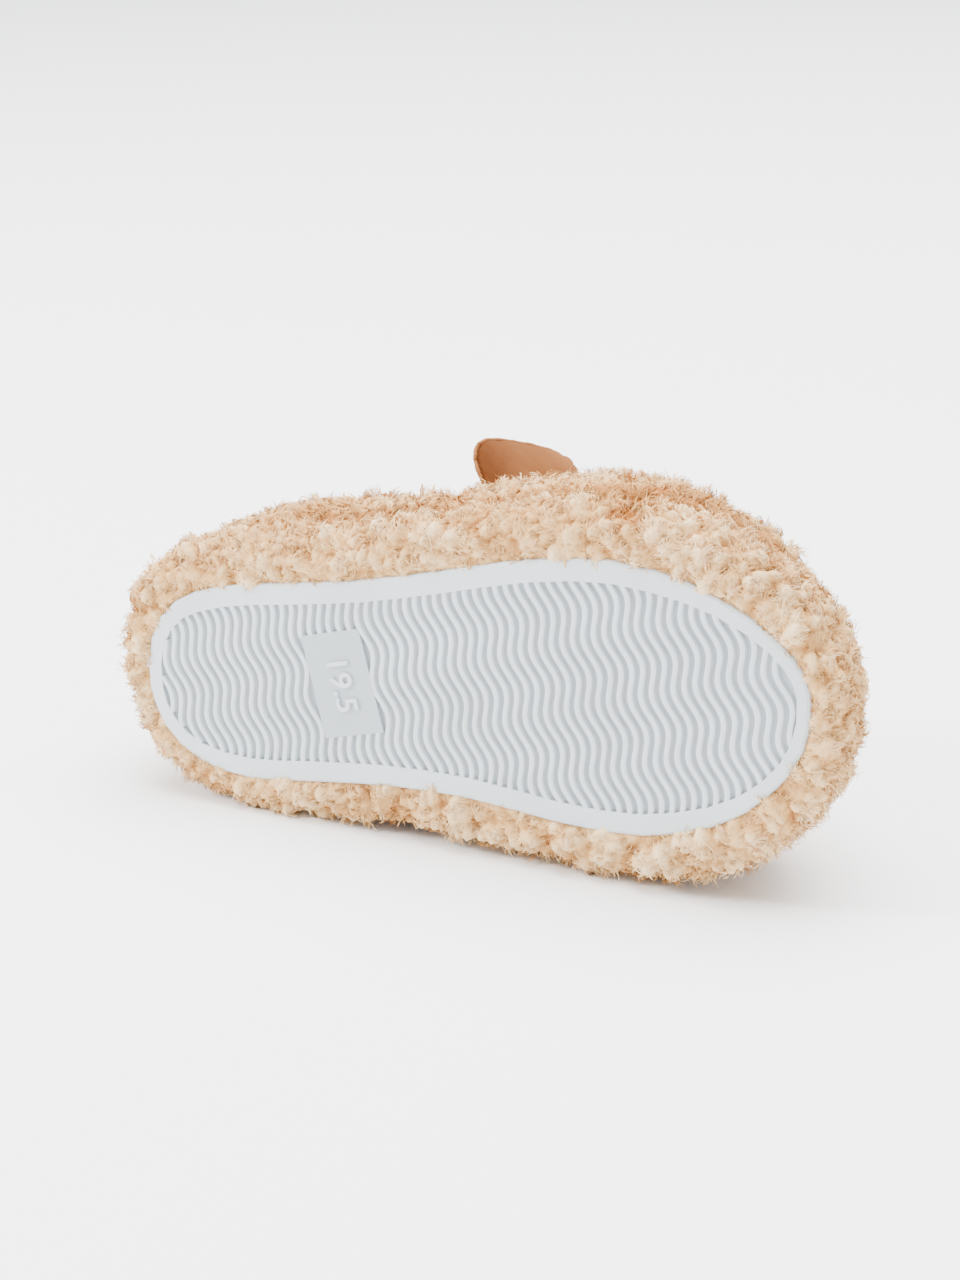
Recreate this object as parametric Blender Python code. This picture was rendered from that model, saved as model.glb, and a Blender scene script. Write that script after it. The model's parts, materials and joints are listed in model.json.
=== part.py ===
"""Plush slipper, a child's right shoe, lying on its medial side.

Each piece is shaped in the shoe's own frame: +X from heel to toe, +Y to the medial
side, +Z from the ground to the instep, origin at the heel end of the sole. The whole
shoe is then laid on its medial side, sole facing -Y and toe pointing along +X.
"""
from collections import namedtuple
from math import atan2, cos, pi, radians, sin, sqrt

import bmesh
import bpy
from mathutils import Matrix, Vector
from mathutils.bvhtree import BVHTree

# Sole
SOLE_LENGTH = 0.2065
HEEL_WIDTH = 0.0585
BALL_WIDTH = 0.0760
OUTSOLE_THICKNESS = 0.0050
EDGE_ROUNDING = 0.0010
BORDER_WIDTH = 0.0062
TREAD_DEPTH = 0.0008
TOE_SPRING = 0.0012
HEEL_SPRING = 0.0006
PANEL_LENGTH = 0.0195
PANEL_WIDTH = 0.0300
PANEL_STATION = 0.0670
PANEL_OFFSET = -0.0020
PANEL_TURN = radians(-6.5)

# Plush platform: how far it stands out beyond the outsole, and its height
PLUSH_OVERHANG = 0.0148
PLATFORM_HEIGHT = 0.0245

# Upper
INSTEP_HEIGHT = 0.0830
COLLAR_HEIGHT = 0.0580
WALL = 0.0095
THROAT_STATION = 0.0870
THROAT_LENGTH = 0.0400
HEEL_CENTRE = 0.0430
TOE_CENTRE = 0.1640
INSOLE_THICKNESS = 0.0040

# Ears
EAR_WIDTH = 0.0370
EAR_HEIGHT = 0.0245
EAR_THICKNESS = 0.0064
EAR_CUP = 0.0030
EAR_STATION = 0.0935
EAR_CLIMB = {"lateral": 0.62, "medial": 0.76}
EAR_LEAN_BACK = radians(23)
EAR_HEADING = {"lateral": radians(35), "medial": radians(38)}
EAR_SPLAY = {"lateral": radians(40), "medial": radians(4)}

# Clearances
GAP = 0.0003
EAR_GAP = 0.0005

# Densities used only to find how the shoe comes to rest, in kg per cubic metre
RUBBER_DENSITY = 1000
PLUSH_DENSITY = 120

# Mesh fineness
SIDE_STEPS = 24
WALL_ROWS = 11
THROAT_STEPS = 6
EAR_POINTS = 16

# Outline of the sole, heel to toe. turn is the share of a half turn, so that the rows
# lie close together at the round ends; ball is how far the width has passed from the
# heel's to the ball's; lateral and medial are shares of that width; over_lateral and
# over_medial are shares of the plush's overhang, pressed in where the heel lies down.
OutlineRow = namedtuple("OutlineRow", "turn ball lateral medial over_lateral over_medial")
OUTLINE = (
    OutlineRow(0.000, 0.00, 0.000, 0.000, 0.80, 0.80),
    OutlineRow(0.083, 0.00, 0.262, 0.205, 0.92, 0.68),
    OutlineRow(0.167, 0.00, 0.442, 0.372, 0.98, 0.64),
    OutlineRow(0.250, 0.00, 0.520, 0.460, 1.00, 0.68),
    OutlineRow(0.333, 0.00, 0.532, 0.468, 1.00, 0.78),
    OutlineRow(0.417, 0.15, 0.520, 0.454, 1.00, 0.88),
    OutlineRow(0.500, 0.45, 0.518, 0.461, 1.00, 0.96),
    OutlineRow(0.583, 0.85, 0.508, 0.496, 1.00, 1.00),
    OutlineRow(0.667, 1.00, 0.484, 0.514, 0.99, 1.00),
    OutlineRow(0.750, 1.00, 0.408, 0.468, 0.96, 0.98),
    OutlineRow(0.833, 1.00, 0.278, 0.348, 0.88, 0.90),
    OutlineRow(0.917, 1.00, 0.140, 0.190, 0.76, 0.76),
    OutlineRow(1.000, 1.00, 0.000, 0.000, 0.64, 0.64),
)

# Section of the plush roll, from the lip of its pocket round to its top. out is a share
# of the overhang, up a share of the platform's height.
RollRow = namedtuple("RollRow", "out up")
ROLL = (
    RollRow(0.12, 0.045),
    RollRow(0.42, 0.030),
    RollRow(0.74, 0.120),
    RollRow(0.94, 0.290),
    RollRow(1.00, 0.490),
    RollRow(0.96, 0.700),
    RollRow(0.82, 0.890),
    RollRow(0.60, 1.000),
)

# Section of the upper, from the platform to the ridge of the instep. climb counts along
# the section; rise is a share of the height above the platform; side and toe are shares
# of the way out from the middle; bulge is a share of the platform's overhang.
WallRow = namedtuple("WallRow", "climb rise side toe bulge")
SECTION = (
    WallRow(0.00, 0.000, 1.000, 0.940, 0.60),
    WallRow(0.06, 0.050, 1.000, 0.935, 0.80),
    WallRow(0.13, 0.130, 1.000, 0.900, 0.92),
    WallRow(0.22, 0.250, 1.000, 0.850, 0.95),
    WallRow(0.32, 0.400, 0.995, 0.790, 0.94),
    WallRow(0.42, 0.550, 0.970, 0.725, 0.90),
    WallRow(0.52, 0.690, 0.915, 0.645, 0.84),
    WallRow(0.62, 0.810, 0.815, 0.545, 0.74),
    WallRow(0.72, 0.905, 0.665, 0.420, 0.64),
    WallRow(0.82, 0.965, 0.465, 0.280, 0.52),
    WallRow(0.91, 0.990, 0.240, 0.150, 0.40),
    WallRow(1.00, 1.000, 0.000, 0.000, 0.30),
)

# Height of the instep's ridge along the sole, as shares of sole length and instep height
RidgeRow = namedtuple("RidgeRow", "station height")
RIDGE = (
    RidgeRow(0.00, 1.00),
    RidgeRow(0.48, 1.00),
    RidgeRow(0.56, 0.985),
    RidgeRow(0.64, 0.935),
    RidgeRow(0.72, 0.852),
    RidgeRow(0.80, 0.760),
    RidgeRow(0.86, 0.712),
    RidgeRow(0.92, 0.668),
    RidgeRow(1.00, 0.600),
)

# Section of an ear from root to tip: up is a share of its height, across a share of its
# width and thick a share of its thickness.
EarRow = namedtuple("EarRow", "up across thick")
EAR = (
    EarRow(0.00, 0.90, 0.80),
    EarRow(0.14, 0.96, 0.95),
    EarRow(0.32, 1.00, 1.00),
    EarRow(0.52, 1.00, 1.00),
    EarRow(0.70, 0.93, 0.95),
    EarRow(0.85, 0.79, 0.82),
    EarRow(0.95, 0.57, 0.60),
    EarRow(1.00, 0.28, 0.30),
)

BEIGE = (0.80, 0.68, 0.55, 1.0)
CREAM = (0.84, 0.74, 0.62, 1.0)
BROWN = (0.50, 0.29, 0.15, 1.0)
PALE_GREY = (0.72, 0.74, 0.75, 1.0)


def clear_scene():
    for item in list(bpy.data.objects):
        bpy.data.objects.remove(item, do_unlink=True)


def material(name, color, roughness):
    """A plain material with the part's colour and roughness."""
    made = bpy.data.materials.new(name)
    made.use_nodes = True
    shader = made.node_tree.nodes["Principled BSDF"]
    shader.inputs["Base Color"].default_value = color
    shader.inputs["Roughness"].default_value = roughness
    shader.inputs["Metallic"].default_value = 0.0
    return made


def read(table, column, at):
    """A smooth curve through one column of a table, read at a value of its first column."""
    keys = [row[0] for row in table]
    values = [getattr(row, column) for row in table]
    last = len(table) - 1
    at = min(max(at, keys[0]), keys[last])
    i = max(k for k in range(last) if keys[k] <= at)

    def slope(k):
        low, high = max(k - 1, 0), min(k + 1, last)
        return (values[high] - values[low]) / (keys[high] - keys[low])

    span = keys[i + 1] - keys[i]
    t = (at - keys[i]) / span
    start = (1 + 2 * t) * (1 - t) ** 2 * values[i] + t * (1 - t) ** 2 * span * slope(i)
    end = t * t * (3 - 2 * t) * values[i + 1] - t * t * (1 - t) * span * slope(i + 1)
    return start + end


def ease(value, low, high):
    """0 below low, 1 above high, and a soft step between them."""
    t = min(max((value - low) / (high - low), 0.0), 1.0)
    return t * t * (3 - 2 * t)


def station_of(turn):
    return SOLE_LENGTH * (1 - cos(pi * turn)) / 2


def turn_of(station):
    return atan2(2 * sqrt(station * (SOLE_LENGTH - station)), SOLE_LENGTH - 2 * station) / pi


def spring(station):
    """How far the sole lifts off its flat plane at the toe and at the heel."""
    toe = max(0.0, (station / SOLE_LENGTH - 0.85) / 0.15)
    heel = max(0.0, (0.06 - station / SOLE_LENGTH) / 0.06)
    return TOE_SPRING * toe ** 2 + HEEL_SPRING * heel ** 2


def edge_point(loop):
    """The sole's edge in plan. loop 0 to 1 runs along the lateral side, 1 to 2 back."""
    loop = loop % 2
    medial = loop > 1
    turn = 2 - loop if medial else loop
    width = HEEL_WIDTH + (BALL_WIDTH - HEEL_WIDTH) * read(OUTLINE, "ball", turn)
    half = width * read(OUTLINE, "medial" if medial else "lateral", turn)
    return Vector((station_of(turn), half if medial else -half))


def edge(loop, out):
    """The sole's edge moved out by a distance along its normal."""
    step = 0.004
    along = (edge_point(loop + step) - edge_point(loop - step)).normalized()
    return edge_point(loop) + Vector((along.y, -along.x)) * out


def overhang(loop):
    """How far the plush roll stands out beyond the outsole."""
    loop = loop % 2
    if loop > 1:
        return PLUSH_OVERHANG * read(OUTLINE, "over_medial", 2 - loop)
    return PLUSH_OVERHANG * read(OUTLINE, "over_lateral", loop)


def ring(loops, out, height):
    """Points round the sole. out is a distance or a function of the place on the loop."""
    points = []
    for loop in loops:
        spot = edge(loop, out(loop) if callable(out) else out)
        points.append(Vector((spot.x, spot.y, height + spring(spot.x))))
    return points


def sole_loops():
    return [step / SIDE_STEPS for step in range(2 * SIDE_STEPS)]


def add_object(name, build, look, smooth_angle=40):
    """Makes one object from a function that fills a bmesh."""
    mesh = bpy.data.meshes.new(name)
    work = bmesh.new()
    build(work)
    bmesh.ops.remove_doubles(work, verts=work.verts, dist=1e-6)
    bmesh.ops.dissolve_degenerate(work, edges=work.edges, dist=1e-7)
    bmesh.ops.triangulate(work, faces=work.faces)
    bmesh.ops.recalc_face_normals(work, faces=work.faces)
    work.to_mesh(mesh)
    work.free()
    mesh.shade_smooth()
    mesh.set_sharp_from_angle(angle=radians(smooth_angle))
    made = bpy.data.objects.new(name, mesh)
    bpy.context.scene.collection.objects.link(made)
    mesh.materials.append(look)
    return made


def bridge(work, first, second):
    """Quads between two closed rings of the same number of vertices."""
    count = len(first)
    for i in range(count):
        j = (i + 1) % count
        work.faces.new((first[i], first[j], second[j], second[i]))


def cap_across(work, verts):
    """Closes a ring round the sole with strips from its lateral to its medial side."""
    count = len(verts)
    half = count // 2
    for i in range(half):
        corners = [verts[i], verts[i + 1], verts[(count - i - 1) % count], verts[(count - i) % count]]
        kept = [v for k, v in enumerate(corners) if v not in corners[:k]]
        work.faces.new(kept)


def stack(rings):
    """A closed body from rings round the sole, its first and last ring closed across."""
    def build(work):
        rows = [[work.verts.new(point) for point in points] for points in rings]
        for lower, upper in zip(rows, rows[1:]):
            bridge(work, lower, upper)
        cap_across(work, rows[0])
        cap_across(work, rows[-1])
    return build


def make_outsole(look):
    """Moulded sole: rounded edge, flat border, recessed tread field and a flat panel."""
    loops = sole_loops()
    rings = [
        ring(loops, 0.0, OUTSOLE_THICKNESS),
        ring(loops, 0.0, EDGE_ROUNDING),
        ring(loops, -0.3 * EDGE_ROUNDING, 0.3 * EDGE_ROUNDING),
        ring(loops, -EDGE_ROUNDING, 0.0),
        ring(loops, -BORDER_WIDTH, 0.0),
        ring(loops, -BORDER_WIDTH, TREAD_DEPTH),
    ]
    outsole = add_object("outsole", stack(rings), look)

    def block(work):
        top = OUTSOLE_THICKNESS / 2
        turn = Matrix.Rotation(PANEL_TURN, 4, "Z")
        place = Matrix.Translation((PANEL_STATION, PANEL_OFFSET, top / 2)) @ turn
        size = Matrix.Diagonal((PANEL_LENGTH, PANEL_WIDTH, top, 1))
        bmesh.ops.create_cube(work, size=1, matrix=place @ size)

    panel = add_object("panel_form", block, look)
    panel.hide_render = True
    panel.display_type = "WIRE"
    join = outsole.modifiers.new("panel", "BOOLEAN")
    join.operation = "UNION"
    join.object = panel
    return outsole, panel


def make_platform(look):
    """Plush roll round the footbed, with a pocket underneath for the outsole."""
    loops = sole_loops()
    rings = [ring(loops, GAP, OUTSOLE_THICKNESS + GAP)]
    rings.append(ring(loops, GAP, 2 * ROLL[0].up * PLATFORM_HEIGHT))
    for row in ROLL:
        rings.append(ring(loops, lambda loop, out=row.out: out * overhang(loop), row.up * PLATFORM_HEIGHT))
    return add_object("platform", stack(rings), look, 70)


def upper_base():
    return PLATFORM_HEIGHT + GAP


def wall_point(loop, climb, inset):
    """A point of the upper's outer face, or of its inner face where inset is the wall."""
    turn = 2 - loop % 2 if loop % 2 > 1 else loop % 2
    rim = edge(loop, read(SECTION, "bulge", climb) * overhang(loop) - inset)
    centre_x = min(max(station_of(turn), HEEL_CENTRE), TOE_CENTRE)
    lateral, medial = edge_point(turn_of(centre_x)), edge_point(2 - turn_of(centre_x))
    centre = Vector((centre_x, (lateral.y + medial.y) / 2))
    toeward = ease(turn, 0.60, 0.95)
    side, toe = read(SECTION, "side", climb), read(SECTION, "toe", climb)
    spot = centre + (rim - centre) * (side + (toe - side) * toeward)
    ridge = INSTEP_HEIGHT * read(RIDGE, "height", max(centre_x, spot.x) / SOLE_LENGTH) - inset
    rise = read(SECTION, "rise", climb) * (ridge - upper_base())
    return Vector((spot.x, spot.y, upper_base() + rise + spring(spot.x)))


def collar_climb():
    """How far up its section the wall reaches at the collar."""
    wanted = (COLLAR_HEIGHT - upper_base()) / (INSTEP_HEIGHT - upper_base())
    low, high = 0.0, 1.0
    for _ in range(30):
        middle = (low + high) / 2
        if read(SECTION, "rise", middle) < wanted:
            low = middle
        else:
            high = middle
    return low


def upper_columns():
    """Places round the upper, each with the climb at which its wall ends."""
    start = THROAT_STATION - THROAT_LENGTH
    collar = collar_climb()
    turns = [step / SIDE_STEPS for step in range(SIDE_STEPS + 1)]
    near = 0.4 / SIDE_STEPS
    rows = [(t, collar) for t in turns if t < turn_of(start) - near]
    for step in range(THROAT_STEPS):
        angle = pi / 2 * step / THROAT_STEPS
        climb = collar + (1 - collar) * (1 - cos(angle))
        rows.append((turn_of(start + THROAT_LENGTH * sin(angle)), climb))
    rows.append((turn_of(THROAT_STATION), 1.0))
    rows += [(t, 1.0) for t in turns if t > turn_of(THROAT_STATION) + near]
    return rows + [(2 - turn, climb) for turn, climb in rows[-2:0:-1]]


def make_upper(look):
    """Hollow shell: closed heel, low quarters, vamp and toe, open at collar and base."""
    columns = upper_columns()
    opened = [climb < 1.0 for _, climb in columns]
    count = len(columns)

    def wall(inset):
        return [[wall_point(loop, top * row / WALL_ROWS, inset) for row in range(WALL_ROWS + 1)]
                for loop, top in columns]

    def build(work):
        outer = [[work.verts.new(p) for p in column] for column in wall(0.0)]
        inner = [[work.verts.new(p) for p in column] for column in wall(WALL)]
        for i in range(count):
            j = (i + 1) % count
            for row in range(WALL_ROWS):
                work.faces.new((outer[i][row], outer[j][row], outer[j][row + 1], outer[i][row + 1]))
                work.faces.new((inner[j][row], inner[i][row], inner[i][row + 1], inner[j][row + 1]))
            work.faces.new((outer[j][0], outer[i][0], inner[i][0], inner[j][0]))
        add_rim(work, outer, inner, opened)

    return add_object("upper", build, look, 60)


def add_rim(work, outer, inner, opened):
    """Rolled edge round the collar, between the outer and the inner face."""
    throat = opened.index(False)
    order = list(range(throat, -1, -1)) + [-k for k in range(1, throat)]
    ends = [(outer[i][-1], inner[i][-1]) for i in order]
    size = len(ends)
    middles = [(a.co + b.co) / 2 for a, b in ends]
    rolls = []
    for k, (a, b) in enumerate(ends):
        along = (middles[(k + 1) % size] - middles[k - 1]).normalized()
        across = (a.co - b.co) / 2
        up = across.cross(along).normalized() * across.length
        arc = [middles[k] + across * cos(turn) + up * sin(turn) for turn in (pi / 4, pi / 2, 3 * pi / 4)]
        rolls.append([a] + [work.verts.new(p) for p in arc] + [b])
    for k in range(size):
        low, high = rolls[k], rolls[(k + 1) % size]
        for row in range(len(low) - 1):
            work.faces.new((low[row], high[row], high[row + 1], low[row + 1]))


def wall_at(loop, top, inset, height):
    """The wall's point at a height above its base, on the flat of its own facets."""
    rows = [wall_point(loop, top * row / WALL_ROWS, inset) for row in range(WALL_ROWS + 1)]
    wanted = rows[0].z + height
    low, high = next(pair for pair in zip(rows, rows[1:]) if pair[1].z >= wanted)
    return low.lerp(high, (wanted - low.z) / (high.z - low.z))


def make_insole(look):
    """Footbed cover that fills the upper's base and follows its inner face."""
    def cover(inset, height):
        return [wall_at(loop, top, WALL + GAP + inset, height) for loop, top in upper_columns()]

    rings = [
        cover(0.0, 0.0),
        cover(0.0, 0.6 * INSOLE_THICKNESS),
        cover(0.3 * INSOLE_THICKNESS, 0.9 * INSOLE_THICKNESS),
        cover(INSOLE_THICKNESS, INSOLE_THICKNESS),
    ]
    return add_object("insole", stack(rings), look, 60)


def ear_axes(side):
    """Directions of an ear: across its root, from root to tip, and out of its front."""
    sign = -1 if side == "lateral" else 1
    splay = EAR_SPLAY[side]
    flat = cos(EAR_LEAN_BACK)
    up = Vector((-sin(EAR_LEAN_BACK), sign * flat * sin(splay), flat * cos(splay)))
    heading = EAR_HEADING[side]
    front = Vector((cos(heading), sign * sin(heading), 0))
    front = (front - up * front.dot(up)).normalized()
    return up.cross(front), up, front


def make_ear(name, side, upper, look):
    """Stuffed ear on the vamp's shoulder, cupped, its root shaped to the plush below."""
    surface = BVHTree.FromPolygons([v.co for v in upper.data.vertices],
                                   [p.vertices for p in upper.data.polygons])
    turn = turn_of(EAR_STATION)
    root = wall_point(turn if side == "lateral" else 2 - turn, EAR_CLIMB[side], 0.0)
    across, up, front = ear_axes(side)

    def place(row, angle):
        reach = cos(angle)
        wide = EAR_WIDTH / 2 * row.across * reach
        deep = EAR_THICKNESS / 2 * row.thick * sin(angle)
        cup = EAR_CUP * ((reach * row.across) ** 2 - 0.5)
        return root + across * wide + up * (EAR_HEIGHT * row.up) + front * (deep + cup)

    def seat(point):
        """The point below on the plush, a small gap above it."""
        start = point + up * EAR_HEIGHT
        hit = surface.ray_cast(start, -up)[0]
        return hit + up * EAR_GAP

    def build(work):
        angles = [2 * pi * k / EAR_POINTS for k in range(EAR_POINTS)]
        rows = [[work.verts.new(place(row, angle)) for angle in angles] for row in EAR]
        for vert in rows[0]:
            vert.co = seat(vert.co)
        for row, verts in zip(EAR[1:-1], rows[1:-1]):
            for vert in verts:
                lowest = seat(vert.co) + up * EAR_HEIGHT * row.up * 0.4
                vert.co = max(vert.co, lowest, key=lambda point: point.dot(up))
        for lower, higher in zip(rows, rows[1:]):
            bridge(work, lower, higher)
        half = EAR_POINTS // 2
        for verts in (rows[0], rows[-1]):
            for k in range(half):
                corners = [verts[k], verts[k + 1], verts[EAR_POINTS - k - 1], verts[-k]]
                kept = [v for n, v in enumerate(corners) if v not in corners[:n]]
                if len(kept) > 2:
                    work.faces.new(kept)

    return add_object(name, build, look, 60)


def body_of(item):
    """Vertices, volume and centre of one closed body."""
    evaluated = item.evaluated_get(bpy.context.evaluated_depsgraph_get())
    work = bmesh.new()
    work.from_mesh(evaluated.data)
    points = [v.co.copy() for v in work.verts]
    bmesh.ops.triangulate(work, faces=work.faces)
    volume, moment = 0.0, Vector()
    for face in work.faces:
        a, b, c = (v.co for v in face.verts)
        part = a.dot(b.cross(c)) / 6
        volume += part
        moment += part * (a + b + c) / 4
    work.free()
    return points, volume, moment / volume


def holds(face, point):
    """Whether a point above a convex face stands over its inside."""
    corners = [v.co for v in face.verts]
    turns = [(b - a).cross(point - a).dot(face.normal) for a, b in zip(corners, corners[1:] + corners[:1])]
    return min(turns) > 0


def resting_matrix(bodies, carriers):
    """Lays the shoe on its medial side, as it comes to rest, and centres it on the floor."""
    points, mass, moment = [], 0.0, Vector()
    hull = bmesh.new()
    for item, density in bodies:
        found, volume, centre = body_of(item)
        points += found
        mass += density * volume
        moment += density * volume * centre
        if item in carriers:
            for point in found:
                hull.verts.new(point)
    balance = moment / mass
    bmesh.ops.convex_hull(hull, input=hull.verts)
    bmesh.ops.recalc_face_normals(hull, faces=hull.faces)
    stable = [face for face in hull.faces if face.normal.y > 0.85 and holds(face, balance)]
    down = max(stable, key=lambda face: face.calc_area()).normal.copy()
    hull.free()
    back = Vector((0, 0, 1))
    back = (back - down * back.dot(down)).normalized()
    along = back.cross(-down)
    turn = Matrix((along, back, -down)).to_4x4()
    placed = [turn @ point for point in points]
    low = Vector(min(p[i] for p in placed) for i in range(3))
    high = Vector(max(p[i] for p in placed) for i in range(3))
    shift = Vector((-(low.x + high.x) / 2, -(low.y + high.y) / 2, -low.z))
    return Matrix.Translation(shift) @ turn


def main():
    clear_scene()
    plush = material("plush", BEIGE, 0.95)
    lining = material("lining", CREAM, 0.95)
    velvet = material("ear_velvet", BROWN, 0.9)
    rubber = material("sole_rubber", PALE_GREY, 0.6)
    outsole, panel = make_outsole(rubber)
    platform = make_platform(plush)
    upper = make_upper(plush)
    insole = make_insole(lining)
    ears = [make_ear("ear_" + side, side, upper, velvet) for side in ("lateral", "medial")]
    soft = [platform, upper, insole] + ears
    bpy.context.view_layer.update()
    bodies = [(outsole, RUBBER_DENSITY)] + [(item, PLUSH_DENSITY) for item in soft]
    matrix = resting_matrix(bodies, (platform, upper))
    shoe = bpy.data.objects.new("shoe_on_its_side", None)
    bpy.context.scene.collection.objects.link(shoe)
    shoe.matrix_world = matrix
    for item in [outsole, panel] + soft:
        item.parent = shoe
    bpy.context.view_layer.update()


main()
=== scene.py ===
"""Looks of the plush slipper: curly pile, grooved rubber sole, velvet ears, floor, light.

Lengths are in metres. The shoe lies on its medial side, its sole facing -Y and its toe
along +X. Shapes are worked out in the shoe's own frame (along the sole, to the medial
side, up from the ground) and laid down with it.
"""
import json
import logging
import math
import random
from dataclasses import dataclass
from enum import Enum
from typing import Callable, NamedTuple

import bpy
from mathutils import Euler, Matrix, Vector, noise
from mathutils.bvhtree import BVHTree

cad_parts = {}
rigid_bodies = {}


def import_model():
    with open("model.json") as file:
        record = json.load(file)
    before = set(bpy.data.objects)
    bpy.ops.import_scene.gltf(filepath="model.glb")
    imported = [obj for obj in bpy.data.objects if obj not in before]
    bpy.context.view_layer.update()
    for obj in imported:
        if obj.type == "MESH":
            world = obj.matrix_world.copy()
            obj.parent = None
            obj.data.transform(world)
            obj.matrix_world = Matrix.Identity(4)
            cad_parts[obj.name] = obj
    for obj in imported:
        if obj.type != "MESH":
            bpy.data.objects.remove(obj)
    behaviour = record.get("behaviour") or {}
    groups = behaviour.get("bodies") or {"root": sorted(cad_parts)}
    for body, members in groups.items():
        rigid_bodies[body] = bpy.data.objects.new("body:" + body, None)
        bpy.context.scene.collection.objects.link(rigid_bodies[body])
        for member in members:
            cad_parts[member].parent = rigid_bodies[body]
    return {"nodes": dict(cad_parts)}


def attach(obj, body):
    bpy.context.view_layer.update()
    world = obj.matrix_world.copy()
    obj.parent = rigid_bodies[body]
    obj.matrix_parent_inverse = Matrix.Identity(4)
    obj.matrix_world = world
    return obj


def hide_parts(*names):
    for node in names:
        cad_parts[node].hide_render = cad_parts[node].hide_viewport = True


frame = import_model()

log = logging.getLogger("slipper")
NODES = frame["nodes"]
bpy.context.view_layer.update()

# How the shoe lies: its heel end, its toe's rise off the floor and its lean
HEEL = Vector((-0.10092, -0.05158, 0.03258))
TOE_RISE = math.radians(8.216)
LEAN = math.radians(1.001)
ALONG = Vector((math.cos(TOE_RISE), math.sin(TOE_RISE) * math.sin(LEAN),
                math.sin(TOE_RISE) * math.cos(LEAN)))
UP = Vector((0.0, math.cos(LEAN), -math.sin(LEAN)))
MEDIAL = UP.cross(ALONG)
SHOE = Matrix((ALONG, MEDIAL, UP)).transposed().to_4x4()
SHOE.translation = HEEL
TO_SHOE = SHOE.inverted()

FLOOR_CLEARANCE = 0.0002
PILE_ALLOWANCE = 0.0017
SOLE_LENGTH = 0.2065
TOE_SPRING = 0.0012
TOE_START = 0.85
TOE_SPAN = 0.15
HEEL_SPRING = 0.0006
HEEL_SPAN = 0.06
NOISE_SEED = 7

# Heights over the ground in the shoe's frame: the platform's roll, the fold above it, the upper
ROLL_TOP = 0.0232
ROLL_SIDE_FOOT = 0.0045
UPPER_FOOT = 0.0266
HOLLOW_FOOT = 0.0252
FOLD_HEIGHT = 0.0275
FOLD_WIDTH = 0.0050
FOLD_DEPTH = 0.0024
SHADE_TOP = 0.0380
SHADE_SPAN = 0.0060

# Where the fibres of a body are split into two pieces, along the sole
ROLL_SPLIT = 0.098
UPPER_SPLIT = 0.1

# How the pile is pressed, lifted and toned, with painted shade in its dents and at the upper's foot
DENT_SPREAD = 1.25
DENT_REACH = 2.2
DENT_SHADE = 320.0
SHADE_TONE = 0.66
LINING_TONE = 0.18
DARKEST = 0.06
LIP = 0.0012
MOST_SUNK = 0.0028
SMALL_CURL = 0.0046
ROLL_REACH = 0.0248

# Shares of the cloth's colour ramp, the scale of the velvet's painted sheen lines and the strength of its
# bumps
FIBRE_TONE = 0.34
MIDDLE_TONE = 0.42
TIP_TONE = 0.92
NAP_STRENGTH = 0.8
SHEEN_LINES = 680.0
DUST_SCALE = 38.0
RUBBER_GRAIN = 2600.0
RUBBER_GRAIN_DEPTH = 0.00006


class Side(Enum):
    """Sides of the shoe that carry an ear."""

    LATERAL = "lateral"
    MEDIAL = "medial"


@dataclass(frozen=True)
class Pile:
    """How a pile surface is shaped.

    Attributes:
        lock: the width of one lock.
        curl: the width of one curl.
        lock_height: how far the locks stand out.
        curl_height: how far the curls stand out.
        grain_height: how far its fine grain stands out.
    """

    lock: float
    curl: float
    lock_height: float
    curl_height: float
    grain_height: float


@dataclass(frozen=True)
class ClothFinish:
    """Colours and surface of a pile cloth.

    Attributes:
        name: the finish's name.
        deep: the colour at the bottom of the pile, painted shade in its partings.
        middle: the colour half way up.
        tip: the colour of the tips.
        roughness: its roughness.
        sheen: the weight of its sheen.
        grain: the scale of its finest fibres.
        sheen_streak: how strongly painted sheen lines in its nap show.
    """

    name: str
    deep: tuple[float, float, float]
    middle: tuple[float, float, float]
    tip: tuple[float, float, float]
    roughness: float
    sheen: float
    grain: float
    sheen_streak: float = 0.0


@dataclass(frozen=True)
class RubberFinish:
    """Colours and surface of moulded rubber.

    Attributes:
        name: the finish's name.
        color: its clean colour.
        soiled: its colour under a little dust.
        recessed: its colour in the recessed field and on the panel, darkened as painted shade.
        roughness: its mean roughness.
    """

    name: str
    color: tuple[float, float, float]
    soiled: tuple[float, float, float]
    recessed: tuple[float, float, float]
    roughness: float


PLUSH_PILE = Pile(lock=0.0078, curl=0.0040, lock_height=0.0034, curl_height=0.0014, grain_height=0.0002)
LINING_PILE = Pile(lock=0.0062, curl=0.0034, lock_height=0.0009, curl_height=0.0007, grain_height=0.0003)
PLUSH = ClothFinish(name="plush", deep=(0.36, 0.12, 0.022), middle=(0.71, 0.41, 0.160),
                    tip=(0.89, 0.66, 0.39), roughness=0.95, sheen=0.06, grain=1500.0)
LINING = ClothFinish(name="lining", deep=(0.48, 0.25, 0.10), middle=(0.72, 0.47, 0.25),
                     tip=(0.85, 0.63, 0.40), roughness=0.95, sheen=0.06, grain=1900.0)
VELVET = ClothFinish(name="ear_velvet", deep=(0.05, 0.011, 0.001), middle=(0.12, 0.034, 0.006),
                     tip=(0.33, 0.135, 0.044), roughness=0.85, sheen=0.01, grain=2400.0, sheen_streak=0.9)
RUBBER = RubberFinish(name="sole_rubber", color=(0.54, 0.58, 0.60), soiled=(0.47, 0.50, 0.51),
                      recessed=(0.37, 0.405, 0.43), roughness=0.50)


class Dent(NamedTuple):
    """A place where the plush is pressed in or parted and darkened with painted shade, in the shoe's frame.
    """

    station: float
    across: float
    height: float
    radius: float
    depth: float
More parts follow.
